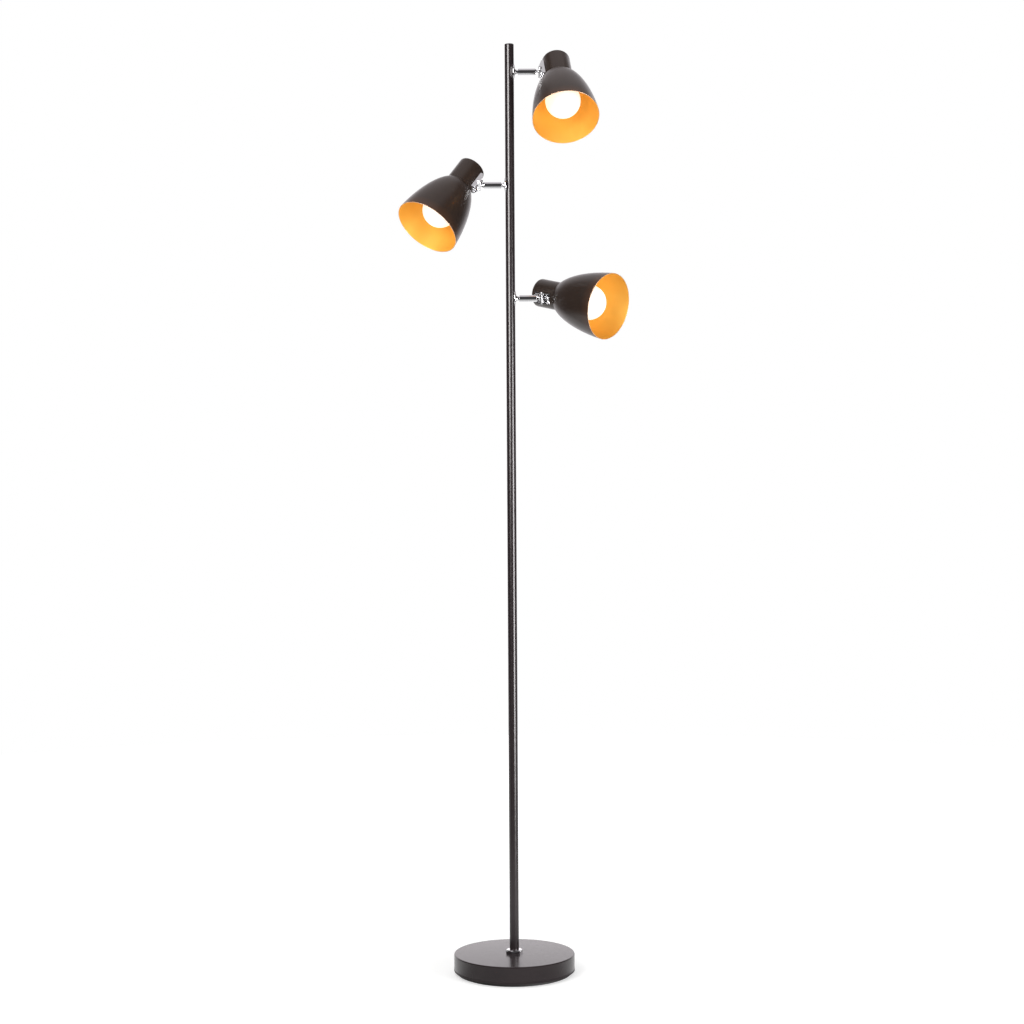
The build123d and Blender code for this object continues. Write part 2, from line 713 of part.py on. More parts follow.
# The lampholder: a moulded cylinder with a socket in front, a terminal chamber behind, and a lug on
# each side that reaches the neck's wall.
holder_end = holder_start + holder_length
lug_start = pivot_from_end - bracket_low - bracket_length
with BuildPart() as lampholder:
    with BuildSketch(Plane.XY.offset(pivot_from_end - lug_start)):
        with Locations((shade_axis, 0)):
            Circle(neck_inner_radius - seat_gap)
            Rectangle(2 * shade_neck_radius, holder_lug_width, mode=Mode.INTERSECT)
    extrude(amount=-bracket_length + holder_lug_end_room - face_gap)
    with BuildSketch(Plane.XY.offset(pivot_from_end - holder_start)):
        with Locations((shade_axis, 0)):
            Circle(holder_radius)
    extrude(amount=-holder_length)
    with BuildSketch(Plane.XY.offset(pivot_from_end - holder_floor_end)):
        with Locations((shade_axis, 0)):
            Circle(socket_bore)
    extrude(amount=holder_floor_end - holder_end, mode=Mode.SUBTRACT)
    with BuildSketch(Plane.XY.offset(pivot_from_end - holder_start)):
        with Locations((shade_axis, 0)):
            Circle(terminal_radius)
    extrude(amount=-(holder_floor_end - holder_floor - holder_start), mode=Mode.SUBTRACT)
    with BuildSketch(Plane.YZ):
        for height in screw_heights:
            with Locations((0, height)):
                Circle(bracket_screw_radius + seat_gap)
        with Locations((0, wire_hole_offset)):
            Circle(wire_bore)
    extrude(amount=screw_tip + seat_gap, mode=Mode.SUBTRACT)
copies_of(lampholder, "lampholder", head_places)

# The brass contacts: the screw sleeve round the bulb's cap, and the centre contact on the floor.
sleeve_radius = socket_bore - seat_gap
with BuildPart() as holder_contacts:
    with BuildSketch(Plane.XY.offset(pivot_from_end - holder_floor_end - sleeve_start)):
        with Locations((shade_axis, 0)):
            Circle(sleeve_radius)
            Circle(sleeve_radius - sleeve_wall, mode=Mode.SUBTRACT)
    extrude(amount=-sleeve_length)
    with BuildSketch(Plane.XY.offset(pivot_from_end - holder_floor_end)):
        with Locations((shade_axis, 0)):
            Circle(contact_radius)
    extrude(amount=-contact_thickness)
copies_of(holder_contacts, "holder_contacts", head_places)

with BuildPart() as holder_wires:
    with BuildSketch(Plane.YZ.offset(plate_face - seat_gap)):
        with Locations((0, wire_hole_offset)):
            with GridLocations(wire_spacing, 0, 2, 1):
                Circle(wire_radius)
    extrude(amount=shade_axis - holder_wires_end - plate_face + seat_gap)
copies_of(holder_wires, "holder_wires", head_places)

# The bulb's cap: a thin cup with rounded threads and a button at its tip.
tip_start = holder_floor_end + bulb_tip
cap_rim = tip_start + bulb_cap_length
thread_start = tip_start + bulb_thread_start
thread_root = bulb_cap_radius - bulb_thread_depth
threads = math.floor((cap_rim - thread_start) / bulb_thread_pitch)
cap_bore = thread_root - bulb_cap_wall
with BuildPart() as bulb_cap:
    with BuildSketch(Plane.XZ):
        with BuildLine():
            Polyline(
                along(tip_start, 0),
                along(tip_start, bulb_tip_radius),
                along(tip_start + bulb_cap_wall, bulb_tip_radius),
                along(thread_start, thread_root),
            )
            for turn in range(threads):
                start = thread_start + turn * bulb_thread_pitch
                ThreePointArc(
                    along(start, thread_root),
                    along(start + bulb_thread_pitch / 2, bulb_cap_radius),
                    along(start + bulb_thread_pitch, thread_root),
                )
            Polyline(
                along(thread_start + threads * bulb_thread_pitch, thread_root),
                along(cap_rim, thread_root),
                along(cap_rim, cap_bore),
                along(thread_start + bulb_cap_wall, cap_bore),
                along(tip_start + bulb_cap_floor, bulb_tip_radius),
                along(tip_start + bulb_cap_floor, 0),
                along(tip_start, 0),
            )
        make_face()
    revolve(axis=shade_line)
copies_of(bulb_cap, "bulb_cap", head_places)

# The bulb: an opal shell, a ball that narrows to a shoulder above the cap and a spigot inside it.
globe_centre = tip_start + bulb_length - bulb_globe_radius


def globe_curve(inset):
    """The shell from its shoulder to its tip: a flare, then the ball."""
    radius = bulb_globe_radius - inset
    angle = math.radians(bulb_flare_angle)
    ball = (globe_centre - radius * math.cos(angle), radius * math.sin(angle))
    along_ball = bulb_flare_handle * math.sin(angle)
    out_ball = bulb_flare_handle * math.cos(angle)
    half = math.radians(90 + bulb_flare_angle / 2)
    shoulder = cap_rim + (bulb_globe_wall if inset else 0)
    return (
        [
            along(shoulder, bulb_shoulder_radius - inset),
            along(cap_rim + bulb_flare_handle, bulb_shoulder_radius - inset),
            along(ball[0] - along_ball, ball[1] - out_ball),
            along(*ball),
        ],
        [
            along(*ball),
            along(globe_centre - radius * math.cos(half), radius * math.sin(half)),
            along(globe_centre + radius, 0),
        ],
    )


flare_out, ball_out = globe_curve(0)
flare_in, ball_in = globe_curve(bulb_globe_wall)
spigot_radius = cap_bore - seat_gap
spigot_bore = spigot_radius - bulb_globe_wall
spigot_start = cap_rim - bulb_spigot_length
with BuildPart() as bulb_globe:
    with BuildSketch(Plane.XZ):
        with BuildLine():
            Bezier(*flare_out)
            ThreePointArc(*ball_out)
            Line(ball_out[-1], ball_in[-1])
            ThreePointArc(*ball_in[::-1])
            Bezier(*flare_in[::-1])
            Polyline(
                flare_in[0],
                along(cap_rim + bulb_globe_wall, spigot_bore),
                along(spigot_start, spigot_bore),
                along(spigot_start, spigot_radius),
                along(cap_rim, spigot_radius),
                flare_out[0],
            )
        make_face()
    revolve(axis=shade_line)
copies_of(bulb_globe, "bulb_globe", head_places)
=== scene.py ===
import math

import bmesh
import bpy
from mathutils import Matrix, Vector


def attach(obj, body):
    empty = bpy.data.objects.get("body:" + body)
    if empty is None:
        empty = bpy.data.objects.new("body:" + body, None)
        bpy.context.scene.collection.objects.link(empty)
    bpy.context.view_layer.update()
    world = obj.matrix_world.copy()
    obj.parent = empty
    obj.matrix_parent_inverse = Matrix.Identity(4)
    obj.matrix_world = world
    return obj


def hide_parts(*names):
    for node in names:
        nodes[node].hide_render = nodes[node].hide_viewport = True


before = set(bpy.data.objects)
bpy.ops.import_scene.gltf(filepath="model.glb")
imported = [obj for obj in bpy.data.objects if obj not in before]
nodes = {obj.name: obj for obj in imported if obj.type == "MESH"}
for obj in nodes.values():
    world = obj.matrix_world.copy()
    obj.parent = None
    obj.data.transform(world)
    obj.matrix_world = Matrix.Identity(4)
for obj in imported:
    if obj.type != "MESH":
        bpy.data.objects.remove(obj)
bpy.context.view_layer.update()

# ---------------------------------------------------------------------------------------------
# Studio: a white floor and backdrop. A tall soft box lights the pole's upper part from the left,
# a lower one its middle from the right, and a wide one hangs overhead. The side where the camera
# stands, 3.4 m in front of the pole, is dark to gloss.
# ---------------------------------------------------------------------------------------------
scene = bpy.context.scene
scene.view_settings.view_transform = "Standard"

camera = bpy.data.objects.new("camera", bpy.data.cameras.new("camera"))
scene.collection.objects.link(camera)
camera.location = (0.0006, -3.4, 0.8456)
camera.rotation_euler = (math.radians(90), math.radians(0.335), 0)
camera.data.lens = 69.4
camera.data.shift_y = -0.0293
scene.camera = camera


def soft_box(name, place, aim, width, height, power, colour, in_gloss=False):
    """A flat lamp that lights matt surfaces, or that only gloss shows."""
    light = bpy.data.lights.new(name, "AREA")
    light.shape = "RECTANGLE"
    light.size, light.size_y = width, height
    light.energy = power
    light.color = colour
    lamp = bpy.data.objects.new(name, light)
    scene.collection.objects.link(lamp)
    lamp.location = place
    lamp.rotation_euler = (Vector(aim) - Vector(place)).to_track_quat("-Z", "Y").to_euler()
    lamp.visible_camera = False
    lamp.visible_glossy, lamp.visible_diffuse = in_gloss, not in_gloss


soft_box("left_box", (-1.06, -1.70, 1.95), (0, 0, 1.30), 0.95, 1.50, 25, (1.0, 0.99, 0.975))
soft_box("right_box", (1.44, -1.39, 0.65), (0, 0, 0.70), 0.85, 1.20, 19, (0.985, 0.99, 1.0))
soft_box("top_box", (0, 0.10, 3.10), (0, 0, 0.5), 2.20, 1.60, 15, (1.0, 1.0, 1.0))
# What gloss shows of the two boxes in front. They stand a little nearer, so that the matt ones
# don't cover them.
shines = ("left_shine", "right_shine")
soft_box(shines[0], (-1.02, -1.64, 1.83), (0, 0, 1.22), 0.95, 1.80, 91, (1.0, 0.98, 0.97), True)
soft_box(shines[1], (1.39, -1.34, 0.65), (0, 0, 0.70), 0.85, 1.20, 55, (0.995, 0.98, 0.99), True)

surround = bpy.data.worlds.new("surround")
scene.world = surround
surround.use_nodes = True


def math_node(tree, kind, one, two=None):
    """A number worked out in a node tree from sockets or plain numbers."""
    node = tree.nodes.new("ShaderNodeMath")
    node.operation = kind
    for socket, value in zip(node.inputs, (one, two)):
        if isinstance(value, (int, float)):
            socket.default_value = value
        elif value is not None:
            tree.links.new(value, socket)
    return node.outputs[0]


def smooth_step(tree, value, start, end):
    """Goes from 0 to 1 while a number goes from start to end."""
    node = tree.nodes.new("ShaderNodeMapRange")
    node.interpolation_type = "SMOOTHSTEP"
    tree.links.new(value, node.inputs["Value"])
    node.inputs["From Min"].default_value = start
    node.inputs["From Max"].default_value = end
    return node.outputs["Result"]


def blend(tree, factor, first, second):
    """A colour between two, each a plain colour or a socket."""
    node = tree.nodes.new("ShaderNodeMix")
    node.data_type = "RGBA"
    tree.links.new(factor, node.inputs["Factor"])
    colours_in = [socket for socket in node.inputs if socket.type == "RGBA"]
    for socket, colour in zip(colours_in, (first, second)):
        if isinstance(colour, tuple):
            socket.default_value = (*colour, 1)
        else:
            tree.links.new(colour, socket)
    return next(socket for socket in node.outputs if socket.type == "RGBA")


# The surround as gloss shows it: white with a faint lilac cast behind the lamp and overhead, dark
# in front. A direction is given by how far it turns from straight in front, and by its height.
white_behind, high_loss, white_overhead, dark_room = 1.42, 0.66, 0.58, 0.05
behind_from, behind_to = math.radians(126), math.radians(148)
white, faint_lilac = (1, 1, 1), (1.0, 0.955, 0.985)
sky = surround.node_tree
sky.nodes.clear()
look = sky.nodes.new("ShaderNodeTexCoord")
split = sky.nodes.new("ShaderNodeSeparateXYZ")
sky.links.new(look.outputs["Generated"], split.inputs[0])
up = split.outputs["Z"]
to_front = math_node(sky, "MULTIPLY", split.outputs["Y"], -1)
turn = math_node(sky, "ABSOLUTE", math_node(sky, "ARCTAN2", split.outputs["X"], to_front))
fade = math_node(sky, "MULTIPLY", smooth_step(sky, up, 0.38, 0.62), high_loss)
backdrop = math_node(sky, "SUBTRACT", white_behind, fade)
behind = math_node(sky, "MULTIPLY", smooth_step(sky, turn, behind_from, behind_to), backdrop)
overhead = math_node(sky, "MULTIPLY", smooth_step(sky, up, 0.74, 0.88), white_overhead)
brighter = math_node(sky, "MAXIMUM", behind, overhead)
level = math_node(sky, "ADD", math_node(sky, "MULTIPLY", brighter, 1 - dark_room), dark_room)
ray = sky.nodes.new("ShaderNodeLightPath")
seen = math_node(sky, "MAXIMUM", ray.outputs["Is Camera Ray"], ray.outputs["Is Transmission Ray"])
lit = math_node(sky, "ADD", math_node(sky, "MULTIPLY", ray.outputs["Is Diffuse Ray"], 0.24),
                math_node(sky, "MULTIPLY", ray.outputs["Is Glossy Ray"], level))
glow = sky.nodes.new("ShaderNodeBackground")
cast = blend(sky, ray.outputs["Is Glossy Ray"], white, faint_lilac)
sky.links.new(cast, glow.inputs["Color"])
sky.links.new(math_node(sky, "MAXIMUM", seen, lit), glow.inputs["Strength"])
sky_out = sky.nodes.new("ShaderNodeOutputWorld")
sky.links.new(glow.outputs[0], sky_out.inputs["Surface"])

# The floor: a wide disc, painted white, that keeps the lamp's soft shadow. Gloss shows it white,
# except in front, where it is greyer round the foot and dark from 1 m on.
floor_radius = 3.2
floor_mesh = bpy.data.meshes.new("floor")
disc = bmesh.new()
bmesh.ops.create_circle(disc, cap_ends=True, radius=floor_radius, segments=96)
disc.to_mesh(floor_mesh)
disc.free()
floor = bpy.data.objects.new("floor", floor_mesh)
scene.collection.objects.link(floor)
paint = bpy.data.materials.new("floor_paint")
paint.use_nodes = True
tree = paint.node_tree
tree.nodes.clear()
place = tree.nodes.new("ShaderNodeTexCoord")
axes = tree.nodes.new("ShaderNodeSeparateXYZ")
tree.links.new(place.outputs["Object"], axes.inputs[0])
reach = tree.nodes.new("ShaderNodeVectorMath")
reach.operation = "LENGTH"
tree.links.new(place.outputs["Object"], reach.inputs[0])
away = reach.outputs["Value"]
forward = math_node(tree, "DIVIDE", math_node(tree, "MULTIPLY", axes.outputs["Y"], -1), away)
in_front = smooth_step(tree, forward, -0.1, 0.5)
near_foot = math_node(tree, "SUBTRACT", 1, smooth_step(tree, away, 0.34, 0.50))
near_foot = math_node(tree, "MULTIPLY", near_foot, 0.55)
far_off = smooth_step(tree, away, 0.82, 1.0)
dark = math_node(tree, "MULTIPLY", math_node(tree, "MAXIMUM", near_foot, far_off), in_front)
mirrored = tree.nodes.new("ShaderNodeEmission")
gloss_level = math_node(tree, "SUBTRACT", 1, math_node(tree, "MULTIPLY", dark, 0.85))
tree.links.new(gloss_level, mirrored.inputs["Strength"])
# To the camera the paint also glows: fully from 0.7 m on, and less near the lamp, where its
# shadow lies.
glow_at_foot = 0.55
path = tree.nodes.new("ShaderNodeLightPath")
lift = tree.nodes.new("ShaderNodeEmission")
rise = math_node(tree, "MULTIPLY", smooth_step(tree, away, 0.12, 0.7), 1 - glow_at_foot)
whiter = math_node(tree, "ADD", glow_at_foot, rise)
camera_glow = math_node(tree, "MULTIPLY", whiter, path.outputs["Is Camera Ray"])
tree.links.new(camera_glow, lift.inputs["Strength"])
matt = tree.nodes.new("ShaderNodeBsdfDiffuse")
matt.inputs["Color"].default_value = (0.80, 0.80, 0.80, 1)
both = tree.nodes.new("ShaderNodeAddShader")
tree.links.new(matt.outputs[0], both.inputs[0])
tree.links.new(lift.outputs[0], both.inputs[1])
either = tree.nodes.new("ShaderNodeMixShader")
tree.links.new(path.outputs["Is Glossy Ray"], either.inputs[0])
tree.links.new(both.outputs[0], either.inputs[1])
tree.links.new(mirrored.outputs[0], either.inputs[2])
out = tree.nodes.new("ShaderNodeOutputMaterial")
tree.links.new(either.outputs[0], out.inputs["Surface"])
floor_mesh.materials.append(paint)

# ---------------------------------------------------------------------------------------------
# Floor pad: a die-cut disc of soft closed-cell foam, stuck under the base plate so that the lamp
# doesn't mark the floor.
# ---------------------------------------------------------------------------------------------


def finish_of(name, colour, roughness, metallic=0.0):
    """A material and its shader."""
    made = bpy.data.materials.new(name)
    made.use_nodes = True
    shader = made.node_tree.nodes["Principled BSDF"]
    shader.inputs["Base Color"].default_value = (*colour, 1)
    shader.inputs["Roughness"].default_value = roughness
    shader.inputs["Metallic"].default_value = metallic
    return made, shader


def node_in(made, kind, **settings):
    """A new node in a material; a setting is one of its sockets or of its own values."""
    node = made.node_tree.nodes.new("ShaderNode" + kind)
    for key, value in settings.items():
        if key in node.inputs:
            node.inputs[key].default_value = value
        else:
            setattr(node, key.lower(), value)
    return node


def on_object(made, node):
    """Lays a pattern on the object's own coordinates."""
    where = node_in(made, "TexCoord")
    made.node_tree.links.new(where.outputs["Object"], node.inputs["Vector"])
    return node


def grain(made, scale, detail=3.0):
    return on_object(made, node_in(made, "TexNoise", Scale=scale, Detail=detail)).outputs["Fac"]


def spread(made, source, low, high, socket, start=0.3, end=0.7):
    """A number that varies with a pattern between two values."""
    ramp = node_in(made, "MapRange")
    ramp.inputs["From Min"].default_value = start
    ramp.inputs["From Max"].default_value = end
    ramp.inputs["To Min"].default_value = low
    ramp.inputs["To Max"].default_value = high
    made.node_tree.links.new(source, ramp.inputs["Value"])
    if socket:
        made.node_tree.links.new(ramp.outputs["Result"], socket)
    return ramp.outputs["Result"]


def tint(made, source, dark, light, socket, start=0.3, end=0.7):
    """A colour that varies with a pattern between two."""
    ramp = node_in(made, "ValToRGB")
    ramp.color_ramp.elements[0].position = start
    ramp.color_ramp.elements[0].color = (*dark, 1)
    ramp.color_ramp.elements[1].position = end
    ramp.color_ramp.elements[1].color = (*light, 1)
    made.node_tree.links.new(source, ramp.inputs["Fac"])
    if socket:
        made.node_tree.links.new(ramp.outputs["Color"], socket)
    return ramp.outputs["Color"]


def bumps(made, source, strength, distance, shader):
    """Small relief from a pattern."""
    bump = node_in(made, "Bump", Strength=strength, Distance=distance)
    made.node_tree.links.new(source, bump.inputs["Height"])
    made.node_tree.links.new(bump.outputs["Normal"], shader.inputs["Normal"])


def dress(material, *names):
    """Gives CAD nodes their finish."""
    for name in names:
        mesh = nodes[name].data
        mesh.materials.clear()
        mesh.materials.append(material)


foam, shader = finish_of("pad_foam", (0.035, 0.035, 0.035), 0.95)
cell_size = on_object(foam, node_in(foam, "TexVoronoi", Scale=900.0)).outputs["Distance"]
tint(foam, cell_size, (0.018, 0.018, 0.018), (0.045, 0.045, 0.045), shader.inputs["Base Color"],
     0.0, 0.6)
bumps(foam, cell_size, 0.5, 0.0004, shader)
dress(foam, "floor_pad")

# ---------------------------------------------------------------------------------------------
# Base plate: a moulded black plastic disc that closes the base from below. Three bosses on it
# reach the weight, and a slotted screw goes up through each.
# ---------------------------------------------------------------------------------------------
plastic, shader = finish_of("black_plastic", (0.022, 0.021, 0.021), 0.48)
leather_grain = grain(plastic, 1400.0, 4.0)
tint(plastic, grain(plastic, 35.0), (0.018, 0.017, 0.017), (0.028, 0.026, 0.026),
     shader.inputs["Base Color"])
spread(plastic, leather_grain, 0.42, 0.58, shader.inputs["Roughness"])
bumps(plastic, leather_grain, 0.25, 0.0002, shader)
dress(plastic, "base_plate")

zinc, shader = finish_of("zinc_plate", (0.62, 0.62, 0.60), 0.34, 1.0)
tint(zinc, grain(zinc, 260.0), (0.52, 0.52, 0.51), (0.68, 0.68, 0.65), shader.inputs["Base Color"])
spread(zinc, grain(zinc, 700.0), 0.26, 0.46, shader.inputs["Roughness"])
dress(zinc, "plate_screws")

# ---------------------------------------------------------------------------------------------
# Weight, stud and nut: a raw iron casting sits under the cover. A hollow threaded stud goes up
# through both into the pole's foot, and the nut in the casting's pocket clamps them together.
# ---------------------------------------------------------------------------------------------
iron, shader = finish_of("raw_casting", (0.11, 0.105, 0.10), 0.70, 0.7)
sand = grain(iron, 520.0, 6.0)
tint(iron, grain(iron, 60.0), (0.07, 0.062, 0.058), (0.15, 0.145, 0.14),
     shader.inputs["Base Color"])
spread(iron, sand, 0.55, 0.85, shader.inputs["Roughness"])
bumps(iron, sand, 0.6, 0.0005, shader)
dress(iron, "base_weight")
dress(zinc, "base_stud", "stud_nut", "foot_insert")

# ---------------------------------------------------------------------------------------------
# Base cover: a pressed steel dish, powder coated in a warm satin black, with a rounded upper
# edge and a turned hem below. The rubber gland fills the hole at its back.
# ---------------------------------------------------------------------------------------------
turning = bpy.data.node_groups.new("turning", "GeometryNodeTree")
for name, kind in (("Profile", "Geometry"), ("Steps", "Int"), ("Finish", "Material")):
    turning.interface.new_socket(name, in_out="INPUT", socket_type="NodeSocket" + kind)
turning.interface.new_socket("Turned", in_out="OUTPUT", socket_type="NodeSocketGeometry")
inlet = turning.nodes.new("NodeGroupInput")
outlet = turning.nodes.new("NodeGroupOutput")
curve = turning.nodes.new("GeometryNodeMeshToCurve")
ring = turning.nodes.new("GeometryNodeCurvePrimitiveCircle")
lathe = turning.nodes.new("GeometryNodeCurveToMesh")
weld = turning.nodes.new("GeometryNodeMergeByDistance")
realise = turning.nodes.new("GeometryNodeRealizeInstances")
coat = turning.nodes.new("GeometryNodeSetMaterial")
# A profile is carried round a ring of this radius, so its points are set in by as much.
ring_radius = 1.0
ring.inputs["Radius"].default_value = ring_radius
weld.inputs["Distance"].default_value = 2e-6
for a, b in (
    (inlet.outputs["Profile"], curve.inputs[0]),
    (inlet.outputs["Steps"], ring.inputs["Resolution"]),
    (ring.outputs[0], lathe.inputs["Curve"]),
    (curve.outputs[0], lathe.inputs["Profile Curve"]),
    (lathe.outputs[0], weld.inputs[0]),
    (weld.outputs[0], realise.inputs[0]),
    (realise.outputs[0], coat.inputs[0]),
    (inlet.outputs["Finish"], coat.inputs["Material"]),
    (coat.outputs[0], outlet.inputs[0]),
):
    turning.links.new(a, b)


def arc(centre, radius, start, end, steps=8):
    """Profile points on an arc; its angles turn from the radius towards the axis."""
    angles = [math.radians(start + (end - start) * i / steps) for i in range(steps + 1)]
    return [(centre[0] + radius * math.cos(a), centre[1] + radius * math.sin(a)) for a in angles]


def plain_mesh(holder):
    """The mesh that an object's modifiers make of it. The object goes."""
    if holder.name not in scene.collection.objects:
        scene.collection.objects.link(holder)
    seen_by = bpy.context.evaluated_depsgraph_get()
    mesh = bpy.data.meshes.new_from_object(holder.evaluated_get(seen_by), depsgraph=seen_by)
    holder.modifiers.clear()
    bpy.data.objects.remove(holder)
    return mesh


def made_by(group, source, inputs):
    """Runs a node tree on a mesh and returns the plain mesh that it makes."""
    holder = bpy.data.objects.new("holder", source)
    modifier = holder.modifiers.new("shape", "NODES")
    modifier.node_group = group
    for item in group.interface.items_tree:
        if item.in_out == "INPUT" and item.name in inputs:
            modifier[item.identifier] = inputs[item.name]
    return plain_mesh(holder)


def turned(profile, finish, steps=96):
    """A mesh turned about Z from (radius, height) points, clockwise round its section."""
    line = bpy.data.meshes.new("profile")
    joins = [(i, i + 1) for i in range(len(profile) - 1)]
    line.from_pydata([(r - ring_radius, -z, 0) for r, z in profile], joins, [])
    return made_by(turning, line, {"Steps": steps, "Finish": finish})


def shown(name, mesh, body, slot, *replaced, corner=32):
    """Turns a finished mesh into a piece of the lamp."""
    mesh.name = name
    mesh.shade_smooth()
    mesh.set_sharp_from_angle(angle=math.radians(corner))
    piece = bpy.data.objects.new(name, mesh)
    scene.collection.objects.link(piece)
    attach(piece, body)
    if replaced:
        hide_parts(*replaced)
    return piece


def carved(mesh, *tools, operation="DIFFERENCE"):
    """Takes other meshes out of one, or joins them to it."""
    work = bpy.data.objects.new("work", mesh)
    helpers = []
    for tool in tools:
        helper = bpy.data.objects.new("tool", tool)
        scene.collection.objects.link(helper)
        helpers.append(helper)
        modifier = work.modifiers.new("cut", "BOOLEAN")
        modifier.operation = operation
        modifier.solver = "EXACT"
        modifier.object = helper
    result = plain_mesh(work)
    for helper in helpers:
        bpy.data.objects.remove(helper)
    return result


def bar(radius, start, end, steps=48):
    """A plain round bar about Z, to cut with."""
    return turned([(0, end), (radius, end), (radius, start), (0, start)], None, steps)


def moved(mesh, place):
    mesh.transform(place)
    return mesh


def at(x=0, y=0, z=0):
    return Matrix.Translation((x, y, z))


def turn_about(axis, degrees):
    return Matrix.Rotation(math.radians(degrees), 4, axis)


hem_top, hem_step = 0.0096, 0.00025
lacquer, shader = finish_of("black_lacquer", (0.025, 0.019, 0.019), 0.25)
shader.inputs["IOR"].default_value = 1.5
shader.inputs["Specular IOR Level"].default_value = 0.56
tint(lacquer, grain(lacquer, 18.0), (0.023, 0.0155, 0.0170), (0.029, 0.0200, 0.0215),
     shader.inputs["Base Color"])
bumps(lacquer, grain(lacquer, 900.0, 2.0), 0.10, 0.00010, shader)
satin = spread(lacquer, grain(lacquer, 240.0), 0.22, 0.27, None)
# The coat is coarser on the hem, below the fold.
where = node_in(lacquer, "TexCoord")
height = node_in(lacquer, "SeparateXYZ")
lacquer.node_tree.links.new(where.outputs["Object"], height.inputs[0])
on_hem = spread(lacquer, height.outputs["Z"], 0.34, 0.0, None, hem_top - 0.0004, hem_top)
total = math_node(lacquer.node_tree, "ADD", satin, on_hem)
lacquer.node_tree.links.new(total, shader.inputs["Roughness"])

cover_radius, cover_wall, edge, cover_bottom, cover_top = 0.104, 0.0015, 0.002, 0.006, 0.035
stud_hole, hem_round = 0.00505, 0.0007
side_radius = cover_radius - hem_step
cover = turned(
    [
        (stud_hole, cover_top),
        *arc((side_radius - edge, cover_top - edge), edge, 90, 0, 12),
        (side_radius, hem_top), (cover_radius, hem_top - hem_step),
        *arc((cover_radius - hem_round, cover_bottom + hem_round), hem_round, 0, -90, 6),
        (cover_radius - cover_wall, cover_bottom),
        *arc((cover_radius - edge, cover_top - edge), edge - cover_wall, 0, 90, 8),
        (stud_hole, cover_top - cover_wall),
        (stud_hole, cover_top),
    ],
    lacquer, 192,
)
gland_radius, gland_height = 0.00465, 0.0145
gland_hole = bar(gland_radius, cover_radius - 0.006, cover_radius + 0.006)
cover = carved(cover, moved(gland_hole, at(z=gland_height) @ turn_about("X", -90)))
cover_piece = shown("cover", cover, "stand", "black_lacquer", "base_cover")

# The two shines are left out of the gloss on the base, because they would glare on its flat top
# when it is seen from behind.
no_glare = bpy.data.collections.new("no_glare")
no_glare.objects.link(cover_piece)
no_glare.collection_objects[0].light_linking.link_state = "EXCLUDE"
for name in shines:
    scene.objects[name].light_linking.receiver_collection = no_glare

rubber, shader = finish_of("black_rubber", (0.018, 0.018, 0.018), 0.72)
spread(rubber, grain(rubber, 800.0), 0.62, 0.82, shader.inputs["Roughness"])
bumps(rubber, grain(rubber, 1500.0), 0.2, 0.0001, shader)
dress(rubber, "cord_gland")

# ---------------------------------------------------------------------------------------------
# Foot nut: a chrome-plated hexagon nut, 25 mm across its flats, at the foot of the pole. Its
# upper corners are turned off, and its edges are broken.
# ---------------------------------------------------------------------------------------------


def softened(node, width, corner=34):
    """A CAD node's mesh, welded, with its sharp edges broken by a narrow flat."""
    mesh = nodes[node].data.copy()
    work = bmesh.new()
    work.from_mesh(mesh)
    bmesh.ops.remove_doubles(work, verts=work.verts, dist=1e-6)
    same_plane = math.radians(0.6)
    bmesh.ops.dissolve_limit(work, angle_limit=same_plane, verts=work.verts, edges=work.edges)
    work.to_mesh(mesh)
    work.free()
    mesh.materials.clear()
    holder = bpy.data.objects.new("holder", mesh)
    modifier = holder.modifiers.new("edge", "BEVEL")
    modifier.width = width
    modifier.segments = 1
    modifier.limit_method = "ANGLE"
    modifier.angle_limit = math.radians(corner)
    return plain_mesh(holder)


chrome, shader = finish_of("chrome_plate", (0.80, 0.80, 0.81), 0.07, 1.0)
spread(chrome, grain(chrome, 120.0), 0.04, 0.10, shader.inputs["Roughness"])
bumps(chrome, grain(chrome, 300.0, 1.0), 0.02, 0.0002, shader)

nut = softened("foot_nut", 0.0003)
nut.materials.append(chrome)
shown("nut", nut, "stand", "chrome", "foot_nut", corner=20)

# ---------------------------------------------------------------------------------------------
# Pole: three lengths of 16 mm steel tube in the same satin black, screwed together on couplers
# inside. A fine line shows at each joint, and a low domed cap closes the top.
# ---------------------------------------------------------------------------------------------
pole_radius, pole_bore, chamfer, bush_hole = 0.008, 0.0069, 0.0003, 0.00445
pole_foot, first_joint, second_joint, pole_top, lamp_top = 0.041, 0.556, 1.081, 1.5975, 1.600
joint_heights = (pole_foot, first_joint, second_joint, pole_top)
arms_at = {"top": 1.5515, "middle": 1.3565, "bottom": 1.1615}
sides = {"top": 1, "middle": -1, "bottom": 1}
for name, low, high in zip(("lower", "middle", "upper"), joint_heights, joint_heights[1:]):
    tube = turned(
        [
            (pole_bore, high), (pole_radius - chamfer, high), (pole_radius, high - chamfer),
            (pole_radius, low + chamfer), (pole_radius - chamfer, low), (pole_bore, low),
            (pole_bore, high),
        ],
        lacquer, 64,
    )
    holes = [
        moved(bar(bush_hole, 0.0, 0.012), at(z=height) @ turn_about("Y", 90 * sides[head]))
        for head, height in arms_at.items() if low < height < high
    ]
    if holes:
        tube = carved(tube, *holes)
    shown("tube_" + name, tube, "stand", "black_lacquer", "pole_" + name)

